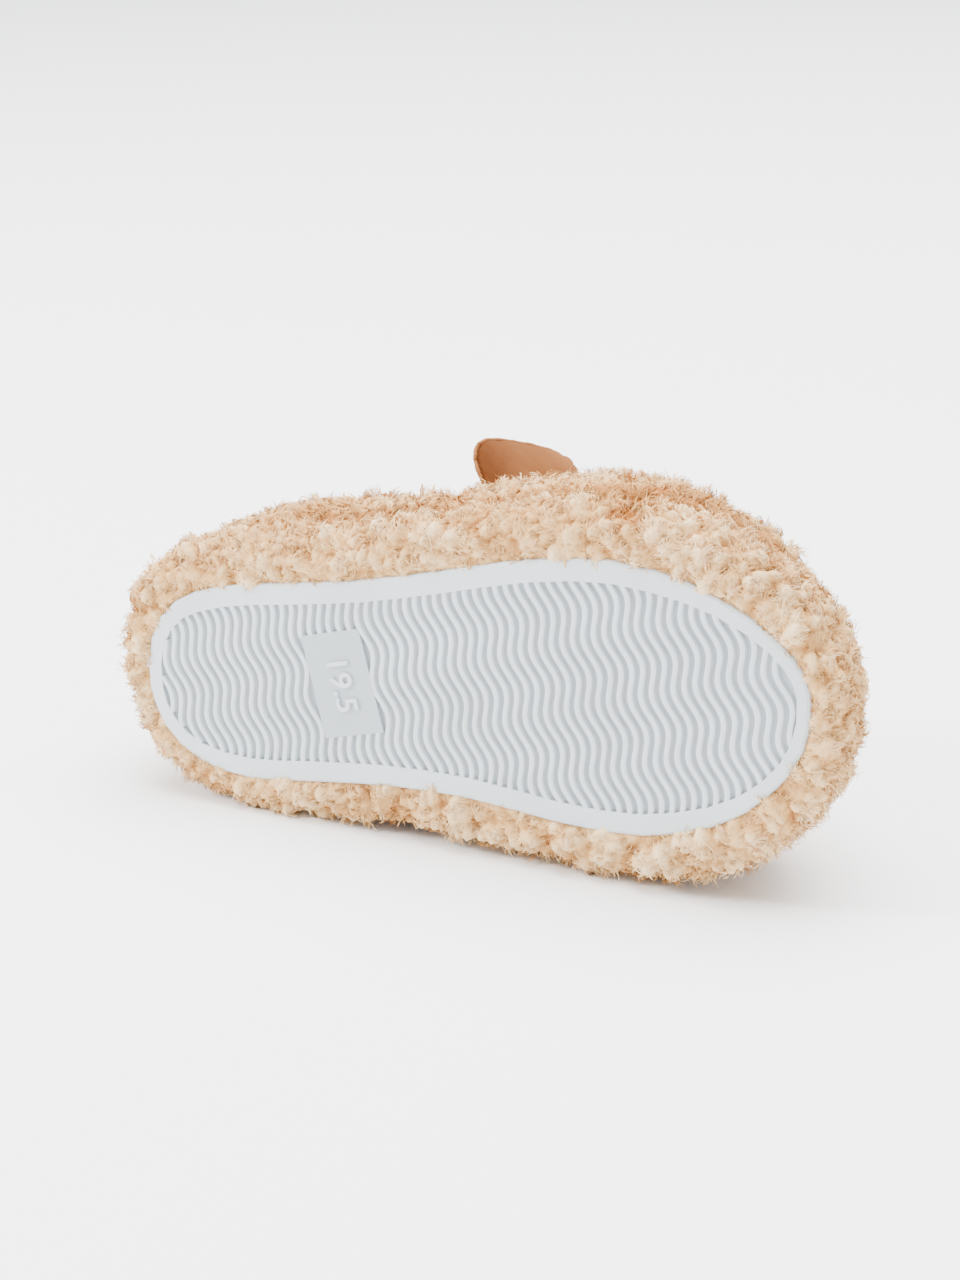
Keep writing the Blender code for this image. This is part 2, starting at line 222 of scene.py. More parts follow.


# Placed where the photo shows brown partings and pressed spots in the plush
DENTS = (
    Dent(0.159, -0.048, 0.010, 0.0065, 0.0020),
    Dent(0.150, -0.052, 0.018, 0.0050, 0.0016),
    Dent(0.182, -0.036, 0.022, 0.0060, 0.0018),
    Dent(0.118, -0.052, 0.008, 0.0045, 0.0012),
    Dent(0.105, -0.047, 0.016, 0.0050, 0.0014),
    Dent(0.060, -0.044, 0.012, 0.0050, 0.0014),
    Dent(0.034, -0.041, 0.020, 0.0055, 0.0014),
    Dent(0.018, -0.034, 0.010, 0.0050, 0.0012),
    Dent(0.072, 0.042, 0.012, 0.0080, 0.0024),
    Dent(0.088, 0.047, 0.020, 0.0060, 0.0018),
    Dent(0.128, 0.053, 0.008, 0.0050, 0.0012),
    Dent(0.040, -0.045, 0.038, 0.0060, 0.0016),
    Dent(0.082, -0.049, 0.040, 0.0060, 0.0014),
    Dent(0.165, -0.045, 0.040, 0.0070, 0.0020),
)


def smooth(value: float, low: float, high: float) -> float:
    """A soft step between two values.

    Args:
        value: the value to place.
        low: where the step starts.
        high: where the step ends.

    Returns:
        A share from 0 at low to 1 at high.
    """
    t = min(max((value - low) / (high - low), 0.0), 1.0)
    return t * t * (3.0 - 2.0 * t)


def spring(station: float) -> float:
    """How far the sole lifts off its flat plane at the toe and at the heel.

    Args:
        station: the distance from the heel end, along the sole.

    Returns:
        The lift.
    """
    toe = max(0.0, (station / SOLE_LENGTH - TOE_START) / TOE_SPAN)
    heel = max(0.0, (HEEL_SPAN - station / SOLE_LENGTH) / HEEL_SPAN)
    return TOE_SPRING * toe ** 2 + HEEL_SPRING * heel ** 2


def lock_at(point: Vector, size: float) -> tuple[float, Vector, Vector]:
    """How high a lock of pile stands at a point, 0 in a parting and 1 on its crown.

    Args:
        point: the place on the cloth.
        size: the width of one lock.

    Returns:
        The height, a key of the lock the point belongs to and the way to its middle.
    """
    warp = noise.noise_vector(point / (size * 1.4)) * 0.35
    spot = point / size + warp
    distances, centres = noise.voronoi(spot)
    parting = smooth(distances[1] - distances[0], 0.0, 0.45)
    crown = 1.0 - min(distances[0] / 0.8, 1.0) ** 2
    return 0.6 * parting + 0.4 * crown, centres[0], (centres[0] - spot) * size


def pile_at(point: Vector, pile: Pile) -> tuple[float, float]:
    """How far the pile stands out at a point, and how near its tip that is.

    Args:
        point: the place on the cloth.
        pile: the pile's sizes.

    Returns:
        The distance out along the normal, and a share from 0 in a parting to 1.
    """
    billow = noise.turbulence(point / pile.lock, 3, True)
    lock, _, _ = lock_at(point, pile.lock)
    curl, _, _ = lock_at(point + Vector((0.31, 0.17, 0.05)), pile.curl)
    grain = noise.noise(point / (pile.curl * 0.28))
    lump = 0.55 * min(billow * 1.3, 1.0) + 0.45 * lock
    out = pile.lock_height * (lump - 0.5) * 1.25 + pile.curl_height * (curl - 0.5) + pile.grain_height * grain
    return out, min(max(0.62 * lump + 0.40 * curl + 0.12 * grain, 0.0), 1.0)


def crease_at(place: Vector) -> float:
    """How near a place is to the fold between the platform's roll and the upper."""
    return math.exp(-((place.z - FOLD_HEIGHT) / FOLD_WIDTH) ** 2)


def shade_at(place: Vector) -> float:
    """How dark the upper's foot is where the roll hides it from the light."""
    return smooth(SHADE_TOP - place.z, 0.0, SHADE_SPAN)


def dent_at(place: Vector) -> float:
    """How far the dents press the plush in.

    Args:
        place: the place in the shoe's frame.

    Returns:
        The depth at that place.
    """
    depth = 0.0
    for dent in DENTS:
        middle = Vector((dent.station, dent.across, dent.height))
        away = (place - middle).length / (DENT_SPREAD * dent.radius)
        if away < DENT_REACH:
            depth += dent.depth * math.exp(-away * away)
    return depth


def add_mesh(name: str, verts: list, faces: list, look: bpy.types.Material) -> bpy.types.Object:
    """Makes a smooth-shaded object.

    Args:
        name: the name of the object and its mesh.
        verts: its vertices.
        faces: its faces, as numbers of vertices.
        look: its material.

    Returns:
        The new object, linked to the scene.
    """
    mesh = bpy.data.meshes.new(name)
    mesh.from_pydata(verts, [], faces)
    mesh.shade_smooth()
    made = bpy.data.objects.new(name, mesh)
    bpy.context.scene.collection.objects.link(made)
    mesh.materials.append(look)
    return made


def fine_copy(node: str, name: str, voxel: float, rounds: int) -> bpy.types.Object:
    """A fine, even, slightly rounded copy of a CAD solid.

    Args:
        node: the CAD node to copy.
        name: the name of the new object.
        voxel: the length of one face's edge.
        rounds: how often the surface is smoothed.

    Returns:
        The new object, its modifiers applied.
    """
    source = NODES[node]
    mesh = source.data.copy()
    mesh.transform(source.matrix_world)
    made = bpy.data.objects.new(name, mesh)
    bpy.context.scene.collection.objects.link(made)
    remesh = made.modifiers.new("even", "REMESH")
    remesh.mode = "VOXEL"
    remesh.voxel_size = voxel
    rounded = made.modifiers.new("rounded", "SMOOTH")
    rounded.factor = 0.5
    rounded.iterations = rounds
    graph = bpy.context.evaluated_depsgraph_get()
    baked = bpy.data.meshes.new_from_object(made.evaluated_get(graph))
    made.modifiers.clear()
    made.data = baked
    made.name = name
    return made


def solid_tree(node: str) -> BVHTree:
    """A search tree of a CAD solid, for distances to it.

    Args:
        node: the CAD node to search.

    Returns:
        The tree, in the scene's frame.
    """
    source = NODES[node]
    return BVHTree.FromPolygons([source.matrix_world @ v.co for v in source.data.vertices],
                                [list(p.vertices) for p in source.data.polygons])


def write_depth(mesh: bpy.types.Mesh, values: list[float]) -> None:
    """Stores one value a vertex, which the finishes read."""
    layer = mesh.attributes.new("depth", "FLOAT", "POINT")
    layer.data.foreach_set("value", values)


def node_group(name: str, inputs: dict[str, float], outputs: dict[str, str]) -> bpy.types.NodeTree:
    """An empty shader group with value inputs and typed outputs.

    Args:
        name: the group's name.
        inputs: the name and value of each input.
        outputs: the name and socket type of each output.

    Returns:
        The group, with its input and output nodes.
    """
    group = bpy.data.node_groups.new(name, "ShaderNodeTree")
    for label, value in inputs.items():
        socket = group.interface.new_socket(label, in_out="INPUT", socket_type="NodeSocketFloat")
        socket.default_value = value
    for label, kind in outputs.items():
        group.interface.new_socket(label, in_out="OUTPUT", socket_type=kind)
    group.nodes.new("NodeGroupInput")
    group.nodes.new("NodeGroupOutput")
    return group


def fibre_group() -> bpy.types.NodeTree:
    """Fine fibres of a pile, from noise stretched by a warp.

    Returns:
        The group, with a mask of tufts and a height of strands.
    """
    group = node_group("Fibres", {"Scale": 1500.0, "Warp": 0.004},
                       {"Mask": "NodeSocketFloat", "Height": "NodeSocketFloat"})
    nodes, links = group.nodes, group.links
    source, sink = nodes["Group Input"], nodes["Group Output"]
    where = nodes.new("ShaderNodeTexCoord")
    swirl = nodes.new("ShaderNodeTexNoise")
    swirl.inputs["Scale"].default_value = 160.0
    bend = nodes.new("ShaderNodeVectorMath")
    bend.operation = "SCALE"
    shifted = nodes.new("ShaderNodeVectorMath")
    strands = nodes.new("ShaderNodeTexNoise")
    strands.inputs["Detail"].default_value = 3.0
    strands.inputs["Distortion"].default_value = 1.6
    tufts = nodes.new("ShaderNodeTexNoise")
    tufts.inputs["Scale"].default_value = 55.0
    links.new(where.outputs["Object"], swirl.inputs["Vector"])
    links.new(swirl.outputs["Color"], bend.inputs[0])
    links.new(source.outputs["Warp"], bend.inputs["Scale"])
    links.new(where.outputs["Object"], shifted.inputs[0])
    links.new(bend.outputs["Vector"], shifted.inputs[1])
    links.new(shifted.outputs["Vector"], strands.inputs["Vector"])
    links.new(source.outputs["Scale"], strands.inputs["Scale"])
    links.new(where.outputs["Object"], tufts.inputs["Vector"])
    links.new(tufts.outputs["Fac"], sink.inputs["Mask"])
    links.new(strands.outputs["Fac"], sink.inputs["Height"])
    return group


def new_material(name: str, roughness: float) -> tuple[bpy.types.Material, bpy.types.ShaderNode]:
    """A material and its shader, both ready for links.

    Args:
        name: the material's name.
        roughness: the roughness all over it.

    Returns:
        The material and its Principled BSDF.
    """
    made = bpy.data.materials.new(name)
    made.use_nodes = True
    shader = made.node_tree.nodes["Principled BSDF"]
    shader.inputs["Roughness"].default_value = roughness
    return made, shader


def cloth_material(finish: ClothFinish, fibres: bpy.types.NodeTree, bump: float) -> bpy.types.Material:
    """Pile cloth, dark with painted shade in its partings and pale at its tips.

    Args:
        finish: the cloth's colours and surface.
        fibres: the shared group of fine fibres.
        bump: how deep the fibres are, in metres.

    Returns:
        The material.
    """
    made, shader = new_material(finish.name, finish.roughness)
    nodes, links = made.node_tree.nodes, made.node_tree.links
    shader.inputs["Sheen Weight"].default_value = finish.sheen
    shader.inputs["Sheen Roughness"].default_value = 0.5
    shader.inputs["Specular IOR Level"].default_value = 0.1
    shader.inputs["Sheen Tint"].default_value = (*finish.tip, 1.0)
    depth = nodes.new("ShaderNodeAttribute")
    depth.attribute_name = "depth"
    fibre = nodes.new("ShaderNodeGroup")
    fibre.node_tree = fibres
    fibre.inputs["Scale"].default_value = finish.grain
    mixed = nodes.new("ShaderNodeMath")
    mixed.operation = "MULTIPLY_ADD"
    mixed.inputs[1].default_value = FIBRE_TONE
    mixed.use_clamp = True
    lowered = nodes.new("ShaderNodeMath")
    lowered.operation = "SUBTRACT"
    lowered.inputs[1].default_value = FIBRE_TONE / 2
    # Colour ramp from the painted shade of partings, seams and the ear's root up to the pale tips
    ramp = nodes.new("ShaderNodeValToRGB")
    ramp.color_ramp.elements[0].color = (*finish.deep, 1.0)
    ramp.color_ramp.elements[1].color = (*finish.tip, 1.0)
    ramp.color_ramp.elements[1].position = TIP_TONE
    middle = ramp.color_ramp.elements.new(MIDDLE_TONE)
    middle.color = (*finish.middle, 1.0)
    nap = nodes.new("ShaderNodeBump")
    nap.inputs["Strength"].default_value = NAP_STRENGTH
    nap.inputs["Distance"].default_value = bump
    links.new(depth.outputs["Fac"], lowered.inputs[0])
    if finish.sheen_streak:
        # Painted sheen: diagonal lines in the velvet's nap, mixed into its tone
        where = nodes.new("ShaderNodeTexCoord")
        sheen_lines = nodes.new("ShaderNodeTexWave")
        sheen_lines.bands_direction = "DIAGONAL"
        sheen_lines.inputs["Scale"].default_value = SHEEN_LINES
        sheen_lines.inputs["Distortion"].default_value = 1.2
        sheen_lines.inputs["Detail"].default_value = 1.0
        sheen_lines.inputs["Detail Scale"].default_value = 0.15
        sheen_streaked = nodes.new("ShaderNodeMath")
        sheen_streaked.operation = "MULTIPLY_ADD"
        sheen_streaked.inputs[1].default_value = finish.sheen_streak
        links.new(where.outputs["Object"], sheen_lines.inputs["Vector"])
        links.new(sheen_lines.outputs["Fac"], sheen_streaked.inputs[0])
        links.new(fibre.outputs["Mask"], sheen_streaked.inputs[2])
        links.new(sheen_streaked.outputs["Value"], mixed.inputs[0])
    else:
        links.new(fibre.outputs["Mask"], mixed.inputs[0])
    links.new(lowered.outputs["Value"], mixed.inputs[2])
    links.new(mixed.outputs["Value"], ramp.inputs["Fac"])
    links.new(ramp.outputs["Color"], shader.inputs["Base Color"])
    links.new(fibre.outputs["Height"], nap.inputs["Height"])
    links.new(nap.outputs["Normal"], shader.inputs["Normal"])
    return made


def rubber_material(finish: RubberFinish) -> bpy.types.Material:
    """Matt moulded rubber with a fine grain, a trace of dust and painted shade in its recessed field.

    Args:
        finish: the rubber's colours and roughness.

    Returns:
        The material.
    """
    made, shader = new_material(finish.name, finish.roughness)
    nodes, links = made.node_tree.nodes, made.node_tree.links
    where = nodes.new("ShaderNodeTexCoord")
    dust = nodes.new("ShaderNodeTexNoise")
    dust.inputs["Scale"].default_value = DUST_SCALE
    dust.inputs["Detail"].default_value = 6.0
    ramp = nodes.new("ShaderNodeValToRGB")
    ramp.color_ramp.elements[0].position = 0.30
    ramp.color_ramp.elements[0].color = (*finish.color, 1.0)
    ramp.color_ramp.elements[1].position = 0.95
    ramp.color_ramp.elements[1].color = (*finish.soiled, 1.0)
    # Painted shade: the recessed field and the panel take the darker recessed colour
    recess = nodes.new("ShaderNodeAttribute")
    recess.attribute_name = "depth"
    sunk = nodes.new("ShaderNodeMix")
    sunk.data_type = "RGBA"
    sunk.inputs["B"].default_value = (*finish.recessed, 1.0)
    grain = nodes.new("ShaderNodeTexNoise")
    grain.inputs["Scale"].default_value = RUBBER_GRAIN
    skin = nodes.new("ShaderNodeBump")
    skin.inputs["Strength"].default_value = 0.25
    skin.inputs["Distance"].default_value = RUBBER_GRAIN_DEPTH
    patches = nodes.new("ShaderNodeMapRange")
    patches.inputs["To Min"].default_value = finish.roughness - 0.06
    patches.inputs["To Max"].default_value = finish.roughness + 0.12
    for texture in (dust, grain):
        links.new(where.outputs["Object"], texture.inputs["Vector"])
    links.new(dust.outputs["Fac"], ramp.inputs["Fac"])
    links.new(dust.outputs["Fac"], patches.inputs["Value"])
    links.new(patches.outputs["Result"], shader.inputs["Roughness"])
    links.new(recess.outputs["Fac"], sunk.inputs["Factor"])
    links.new(ramp.outputs["Color"], sunk.inputs["A"])
    links.new(sunk.outputs["Result"], shader.inputs["Base Color"])
    links.new(grain.outputs["Fac"], skin.inputs["Height"])
    links.new(skin.outputs["Normal"], shader.inputs["Normal"])
    return made


def floor_material() -> bpy.types.Material:
    """Plain pale studio floor."""
    made, shader = new_material("studio_floor", 0.85)
    shader.inputs["Base Color"].default_value = (0.98, 0.985, 0.995, 1.0)
    return made


@dataclass
class PlushPiece:
    """A CAD piece shown as pile cloth over foam.

    Attributes:
        node: the CAD node it stands for.
        slot: the record's material slot; not used.
        fill: how full the padding is; not used.
        voxel: the fineness of its mesh.
        outer: pile of its outer face.
        inner: tells whether a place lies on a face with the shorter inner pile.
        folded: how far the fold between the roll and the upper presses it in, and how strong the painted
            shade at the upper's foot is.
    """

    node: str
    slot: str
    fill: float
    voxel: float
    outer: Pile
    inner: Callable[[Vector, Vector], bool]
    folded: float = 0.0

    def build(self, look: bpy.types.Material) -> bpy.types.Object:
        """Builds the cloth body and hands it to the frame.

        Args:
            look: its material.

        Returns:
            The cloth body.
        """
        made = fine_copy(self.node, self.node + "_cloth", self.voxel, 3)
        made.data.materials.clear()
        made.data.materials.append(look)
        normals = [vert.normal.copy() for vert in made.data.vertices]
        sole = solid_tree("outsole")
        depths = []
        for vert, normal in zip(made.data.vertices, normals):
            place = TO_SHOE @ vert.co
            inner = self.inner(place, TO_SHOE.to_3x3() @ normal)
            out, depth = pile_at(vert.co, LINING_PILE if inner else self.outer)
            pressed = 0.0 if inner else dent_at(place)
            lip = LIP * smooth(0.010 - place.z, 0.0, 0.006)
            if self.node == "platform":
                away = sole.find_nearest(vert.co)[3]
                out = max(out, -MOST_SUNK * smooth(away, 0.0008, 0.0032))
            sunk = 0.0 if inner else PILE_ALLOWANCE * smooth(place.z, 0.004, 0.011)
            fold = 0.0 if inner else self.folded * crease_at(place)
            vert.co += normal * (out - pressed + lip - sunk - FOLD_DEPTH * fold)
            vert.co.z = max(vert.co.z, FLOOR_CLEARANCE)
            shaded = 0.0 if inner else self.folded * shade_at(place)
            # Painted shade: the tone darkens in the pile's partings, in the dents and at the upper's foot
            # under the roll; the lining's tone is lifted
            depth += LINING_TONE if inner else -DENT_SHADE * pressed - SHADE_TONE * shaded
            depths.append(min(max(depth, DARKEST), 1.0))
        write_depth(made.data, depths)
        made.data.shade_smooth()
        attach(made, "root")
        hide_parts(self.node)
        log.info("%s cloth: %d faces", self.node, len(made.data.polygons))
        return made


@dataclass
class Growth:
    """Fibres as they are planted: corners, faces, shading directions and tones."""

    verts: list
    tris: list
    normals: list
    depths: list


@dataclass
class Fibres:
    """Fine pile fibres on a plush body, gathered into locks.

    Attributes:
        name: name of the piece.
        slot: the record's material slot; not used.
        count: how many fibres.
        length: the length of a fibre.
        thickness: its width at the root.
        seed: start of its random places.
        scatter: how far a root lies from the middle of its face.
        buried: how deep a root starts.
        stray: how much each fibre goes its own way.
        swirl: how far a lock's fibres turn about it.
        roundness: how much each fibre's own faces shade it.
        taper: how much narrower the tip is.
        tone_spread: how much the tone of the fibres varies.
        rows: where its corners lie, as shares of its length.
    """

    name: str
    slot: str
    count: int
    length: float
    thickness: float
    seed: int
    scatter: float = 0.0005
    buried: float = 0.0005
    stray: float = 0.15
    swirl: float = 0.7
    roundness: float = 0.3
    taper: float = 0.45
    tone_spread: float = 0.05
    rows: tuple[float, ...] = (0.0, 0.42, 0.76, 1.0)

    def build(self, body: bpy.types.Object, allowed: Callable[[Vector, Vector], bool],
              look: bpy.types.Material) -> bpy.types.Object:
        """Plants the fibres on a body.

        Args:
            body: the plush body they grow on.
            allowed: tells whether a face may carry fibres, from its place and normal.
            look: their material.

        Returns:
            All the fibres as one object.
        """
        source = random.Random(self.seed)
        turned = TO_SHOE.to_3x3()
        faces = [f for f in body.data.polygons if allowed(TO_SHOE @ f.center, turned @ f.normal)]
        shades = body.data.attributes["depth"].data
        grown = Growth([], [], [], [])
        for _ in range(self.count):
            face = source.choice(faces)
            shift = Vector([source.uniform(-self.scatter, self.scatter) for _ in range(3)])
            depth = sum(shades[vert].value for vert in face.vertices) / len(face.vertices)
            self.plant(face.center + shift, face.normal, depth, source, grown)
        made = add_mesh(self.name, grown.verts, grown.tris, look)
        made.data.normals_split_custom_set_from_vertices(grown.normals)
        write_depth(made.data, grown.depths)
        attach(made, "root")
        log.info("%s: %d fibres, %d triangles", self.name, self.count, len(grown.tris))
        return made

    def plant(self, root: Vector, normal: Vector, depth: float, source: random.Random,
              grown: Growth) -> None:
        """Adds one tapered fibre that bends with its lock and gathers at the lock's tip.

        Args:
            root: the place it grows from.
            normal: the way the cloth faces there.
            depth: the tone of the cloth there, painted shade included.
            source: the random numbers.
            grown: the fibres so far, which it is added to.
        """
        height, key, broad = lock_at(root, PLUSH_PILE.lock)
        curl, small, near = lock_at(root, SMALL_CURL)
        place = TO_SHOE @ root
        drift = noise.noise_vector(key * 7.3) + 0.8 * noise.noise_vector(small * 5.1)
        drift += self.stray * Vector([source.uniform(-1, 1) for _ in range(3)])
        if place.z < 0.010:
            flat = TO_SHOE.to_3x3() @ normal
            drift += SHOE.to_3x3() @ Vector((flat.x, flat.y, 0.0)) * 1.6 * smooth(0.010 - place.z, 0.0, 0.008)
        lie = (drift - normal * drift.dot(normal)).normalized()
        gather = 0.4 * broad + 0.6 * near
        gather -= normal * gather.dot(normal)
        length = self.length * source.uniform(0.8, 1.1) * (0.55 + 0.3 * height + 0.3 * curl)
        swirl = normal.cross(gather) * (self.swirl if small.x > small.y else -self.swirl)
        if place.z < ROLL_REACH:
            length *= 1.0 - 0.45 * smooth(place.z, 0.015, 0.022) - 0.25 * smooth(0.009 - place.z, 0.0, 0.005)
        middle = root + normal * (0.46 * length) + gather * 0.35 + swirl
        end = root + normal * (0.24 * length) + lie * (0.75 * length) + gather * 0.95 + swirl * 0.8
        start = root - normal * self.buried
        tone = source.uniform(-self.tone_spread, self.tone_spread)
        first = len(grown.verts)
        for share in self.rows:
            back = 1.0 - share
            spot = start * back * back + middle * (2 * back * share) + end * share * share
            heading = (middle - start) * back + (end - middle) * share
            wide = heading.cross(normal + lie * 0.4).normalized()
            own = wide.cross(heading).normalized()
            outward = self.roundness if own.dot(normal) > 0 else -self.roundness
            shade = (normal + own * outward).normalized()
            # Painted shade: each fibre carries the cloth's shaded tone, darker in the partings of the curls
            # and at its root, lighter towards its tip
            value = min(max(0.01 + 0.70 * depth + 0.12 * curl + 0.22 * share + tone, 0.0), 1.0)
            half = wide * (self.thickness * (1.0 - self.taper * share) / 2)
            for point in ((spot,) if share == 1.0 else (spot - half, spot + half)):
                grown.verts.append((point.x, point.y, max(point.z, FLOOR_CLEARANCE)))
                grown.normals.append(shade)
                grown.depths.append(value)
        for row in (first, first + 2):
            grown.tris.append((row, row + 1, row + 3))
            grown.tris.append((row, row + 3, row + 2))
        grown.tris.append((first + 4, first + 5, first + 6))


@dataclass
class Tread:
    """The moulded sole: its body, wavy ridges, flat panel and a plain number.

    Attributes:
        pitch: the distance between two ridges.
        ridge: the width of a ridge.
        draft: how far a ridge's flank slopes out.
        wave_length: the length of one wave.
        wave_height: how far a wave swings to each side.
        drift: how the waves shift from ridge to ridge.
        turn: how far the ridges are turned to the shoe.
        middle: the tread's middle in the shoe's plan.
        depth: the depth of the field in the CAD sole.
        deeper: how much deeper the field is made.
        sample: the length of one piece of a ridge.
        phase: where the waves start.
        offset: where the first ridge lies.
        level: how closely a corner has to lie on the field's floor.
        rim_rise: the height from which a corner belongs to the border.
        rim_reach: how far the border's surroundings stay as they are.
        panel_station: where the flat panel lies along the shoe.
        panel_half: half its length, half its width and its greatest height.
        half_length: how far the ridges reach from the middle.
        half_width: how far each ridge may run to each side.
        ridge_lift: how far a ridge's top lies behind the ground.
        number_size: the size of the number.
        number_raise: how far it stands out.
        number_edge: the rounding of its edge.
    """

    pitch: float = 0.00326
    ridge: float = 0.00128
    draft: float = 0.00034
    wave_length: float = 0.0183
    wave_height: float = 0.00126
    drift: float = -0.077
    turn: float = math.radians(6.5)
    middle: tuple[float, float] = (0.1045, 0.014663)
    depth: float = 0.0008
    deeper: float = 0.0004
    sample: float = 0.00075
    phase: float = -0.5
    offset: float = 0.00175
    level: float = 0.0001
    rim_rise: float = 0.0009
    rim_reach: float = 0.004
    panel_station: float = 0.067
    panel_half: tuple[float, float, float] = (0.016, 0.02, 0.003)
    half_length: float = 0.115
    half_width: float = 0.06
    ridge_lift: float = 0.00003
    number_size: float = 0.0098
    number_raise: float = 0.00055
    number_edge: float = 0.00012

    def to_shoe(self, along: float, across: float) -> tuple[float, float]:
        """From the tread's own axes, a little turned, to the shoe's.

        Args:
            along: the place along the tread.
            across: the place across it.

        Returns:
            The place along and across the shoe.
        """
        cosine, sine = math.cos(self.turn), math.sin(self.turn)
        return (self.middle[0] + along * cosine + across * sine,
                self.middle[1] - along * sine + across * cosine)

    def line(self, along: float, across: float) -> float:
        """Where a ridge's middle runs.

        Args:
            along: the ridge's mean place along the tread.
            across: the place across it.

        Returns:
            The middle's place along the tread.
        """
        swing = 2 * math.pi * (across - self.drift * along) / self.wave_length + self.phase
        return along + self.wave_height * math.sin(swing)

    def build(self, look: bpy.types.Material) -> None:
        """Builds the sole's body, its ridges and its number.

        Args:
            look: their material.
        """
        body = self.body(look)
        surface = BVHTree.FromPolygons([v.co for v in body.data.vertices],
                                       [list(p.vertices) for p in body.data.polygons])
        ridges = self.ridges(surface, look)
        number = self.number(look)
        for piece in (body, ridges, number):
            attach(piece, "root")
        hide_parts("outsole")

    def body(self, look: bpy.types.Material) -> bpy.types.Object:
        """The sole's body: the CAD solid with a deeper field and rounded edges.

        Args:
            look: its material.

        Returns:
            The body.
        """
        source = NODES["outsole"]
        mesh = source.data.copy()
        mesh.transform(source.matrix_world)
        mesh.materials.clear()
        mesh.materials.append(look)
        self.cut_field(mesh)
        made = bpy.data.objects.new("sole_body", mesh)
        bpy.context.scene.collection.objects.link(made)
        edges = made.modifiers.new("soft_edges", "BEVEL")
        edges.width = 0.00018
        edges.segments = 2
        edges.limit_method = "ANGLE"
        edges.angle_limit = math.radians(35)
        log.info("sole body: %d faces", len(mesh.polygons))
        return made

    def on_floor(self, place: Vector) -> bool:
        """Whether a corner of the sole lies on the tread field's floor."""
        return abs(place.z - spring(place.x) - self.depth) < self.level

    def on_panel(self, place: Vector) -> bool:
        """Whether a corner of the sole belongs to the flat panel."""
        long, wide, high = self.panel_half
        return abs(place.x - self.panel_station) < long and abs(place.y) < wide and place.z < high

    def cut_field(self, mesh: bpy.types.Mesh) -> None:
        """Deepens the tread field, widens it at its round ends and marks the field and the panel for painted
        shade.

        Args:
            mesh: the sole's mesh, in the scene's frame.
        """
        places = [TO_SHOE @ v.co for v in mesh.vertices]
        rim = [place.xy for place in places if place.z - spring(place.x) > self.rim_rise]
        # Corners of the field's floor and of the panel get painted shade in the finish
        sunk = [float(self.on_floor(place) or self.on_panel(place)) for place in places]
        for vert, place in zip(mesh.vertices, places):
            near = min((place.xy - spot).length for spot in rim)
            if near >= self.rim_reach and not self.on_panel(place):
                toe = (0.150, 0.0026 * smooth(place.x, 0.165, 0.195))
                heel = (0.040, 0.0012 * smooth(0.03 - place.x, 0.0, 0.02))
                for centre, push in (toe, heel):
                    away = (place - Vector((centre, 0.0, place.z))).normalized()
                    vert.co += SHOE.to_3x3() @ (away * push)
            if self.on_floor(place):
                vert.co += UP * self.deeper
        write_depth(mesh, sunk)

    def in_field(self, surface: BVHTree, x: float, y: float) -> bool:
        """Whether a place in the shoe's plan lies over the recessed tread field.

        Args:
            surface: a search tree of the sole's body.
            x: the place along the shoe.
            y: the place across it.

        Returns:
            True over the field, False over the border and the panel.
        """
        start = SHOE @ Vector((x, y, -0.01))
        hit = surface.ray_cast(start, UP)[0]
        if hit is None:
            return False
        return (TO_SHOE @ hit).z - spring(x) > self.depth * 0.6

    def ridges(self, surface: BVHTree, look: bpy.types.Material) -> bpy.types.Object:
        """All ridges, each running across the field until the border or the panel.

        Args:
            surface: a search tree of the sole's body.
            look: their material.

        Returns:
            The ridges as one object.
        """
        verts, faces = [], []
        reach = int(self.half_length / self.pitch)
        count = int(2 * self.half_width / self.sample)
        for index in range(-reach, reach + 1):
            along = index * self.pitch + self.offset
            run: list[tuple[float, float]] = []
            for step in range(count + 1):
                across = -self.half_width + step * self.sample
                spot = self.to_shoe(self.line(along, across), across)
                if self.in_field(surface, *spot):
                    run.append((along, across))
                elif run:
                    self.strip(run, verts, faces)
                    run = []
            if run:
                self.strip(run, verts, faces)
        made = add_mesh("tread_ridges", verts, faces, look)
        made.data.set_sharp_from_angle(angle=math.radians(40))
        log.info("tread ridges: %d faces", len(faces))
        return made

    def strip(self, run: list[tuple[float, float]], verts: list, faces: list) -> None:
        """One ridge: a flat-topped bar that follows its wavy line.

        Args:
            run: the places along and across the tread that it passes.
            verts: the vertices so far, which it adds to.
            faces: the faces so far, which it adds to.
        """
        if len(run) < 4:
            return
        along = run[0][0]
        places = [run[0][1] - self.sample] + [across for _, across in run] + [run[-1][1] + self.sample]
        lift = self.ridge_lift
        half = self.ridge / 2
        foot = self.depth + self.deeper + 0.0002
        profile = ((-half - self.draft, foot), (-half - 0.3 * self.draft, lift + 0.00014),
                   (-half + 0.5 * self.draft, lift), (half - 0.5 * self.draft, lift),
                   (half + 0.3 * self.draft, lift + 0.00014), (half + self.draft, foot))
        first = len(verts)
        for across in places:
            middle = self.line(along, across)
            for shift, height in profile:
                x, y = self.to_shoe(middle + shift, across)
                verts.append(SHOE @ Vector((x, y, height + spring(x))))
        size = len(profile)
        for row in range(len(places) - 1):
            for column in range(size - 1):
                a = first + row * size + column
                faces.append((a, a + 1, a + size + 1, a + size))
        faces.append(tuple(first + column for column in reversed(range(size))))
        faces.append(tuple(first + (len(places) - 1) * size + column for column in range(size)))

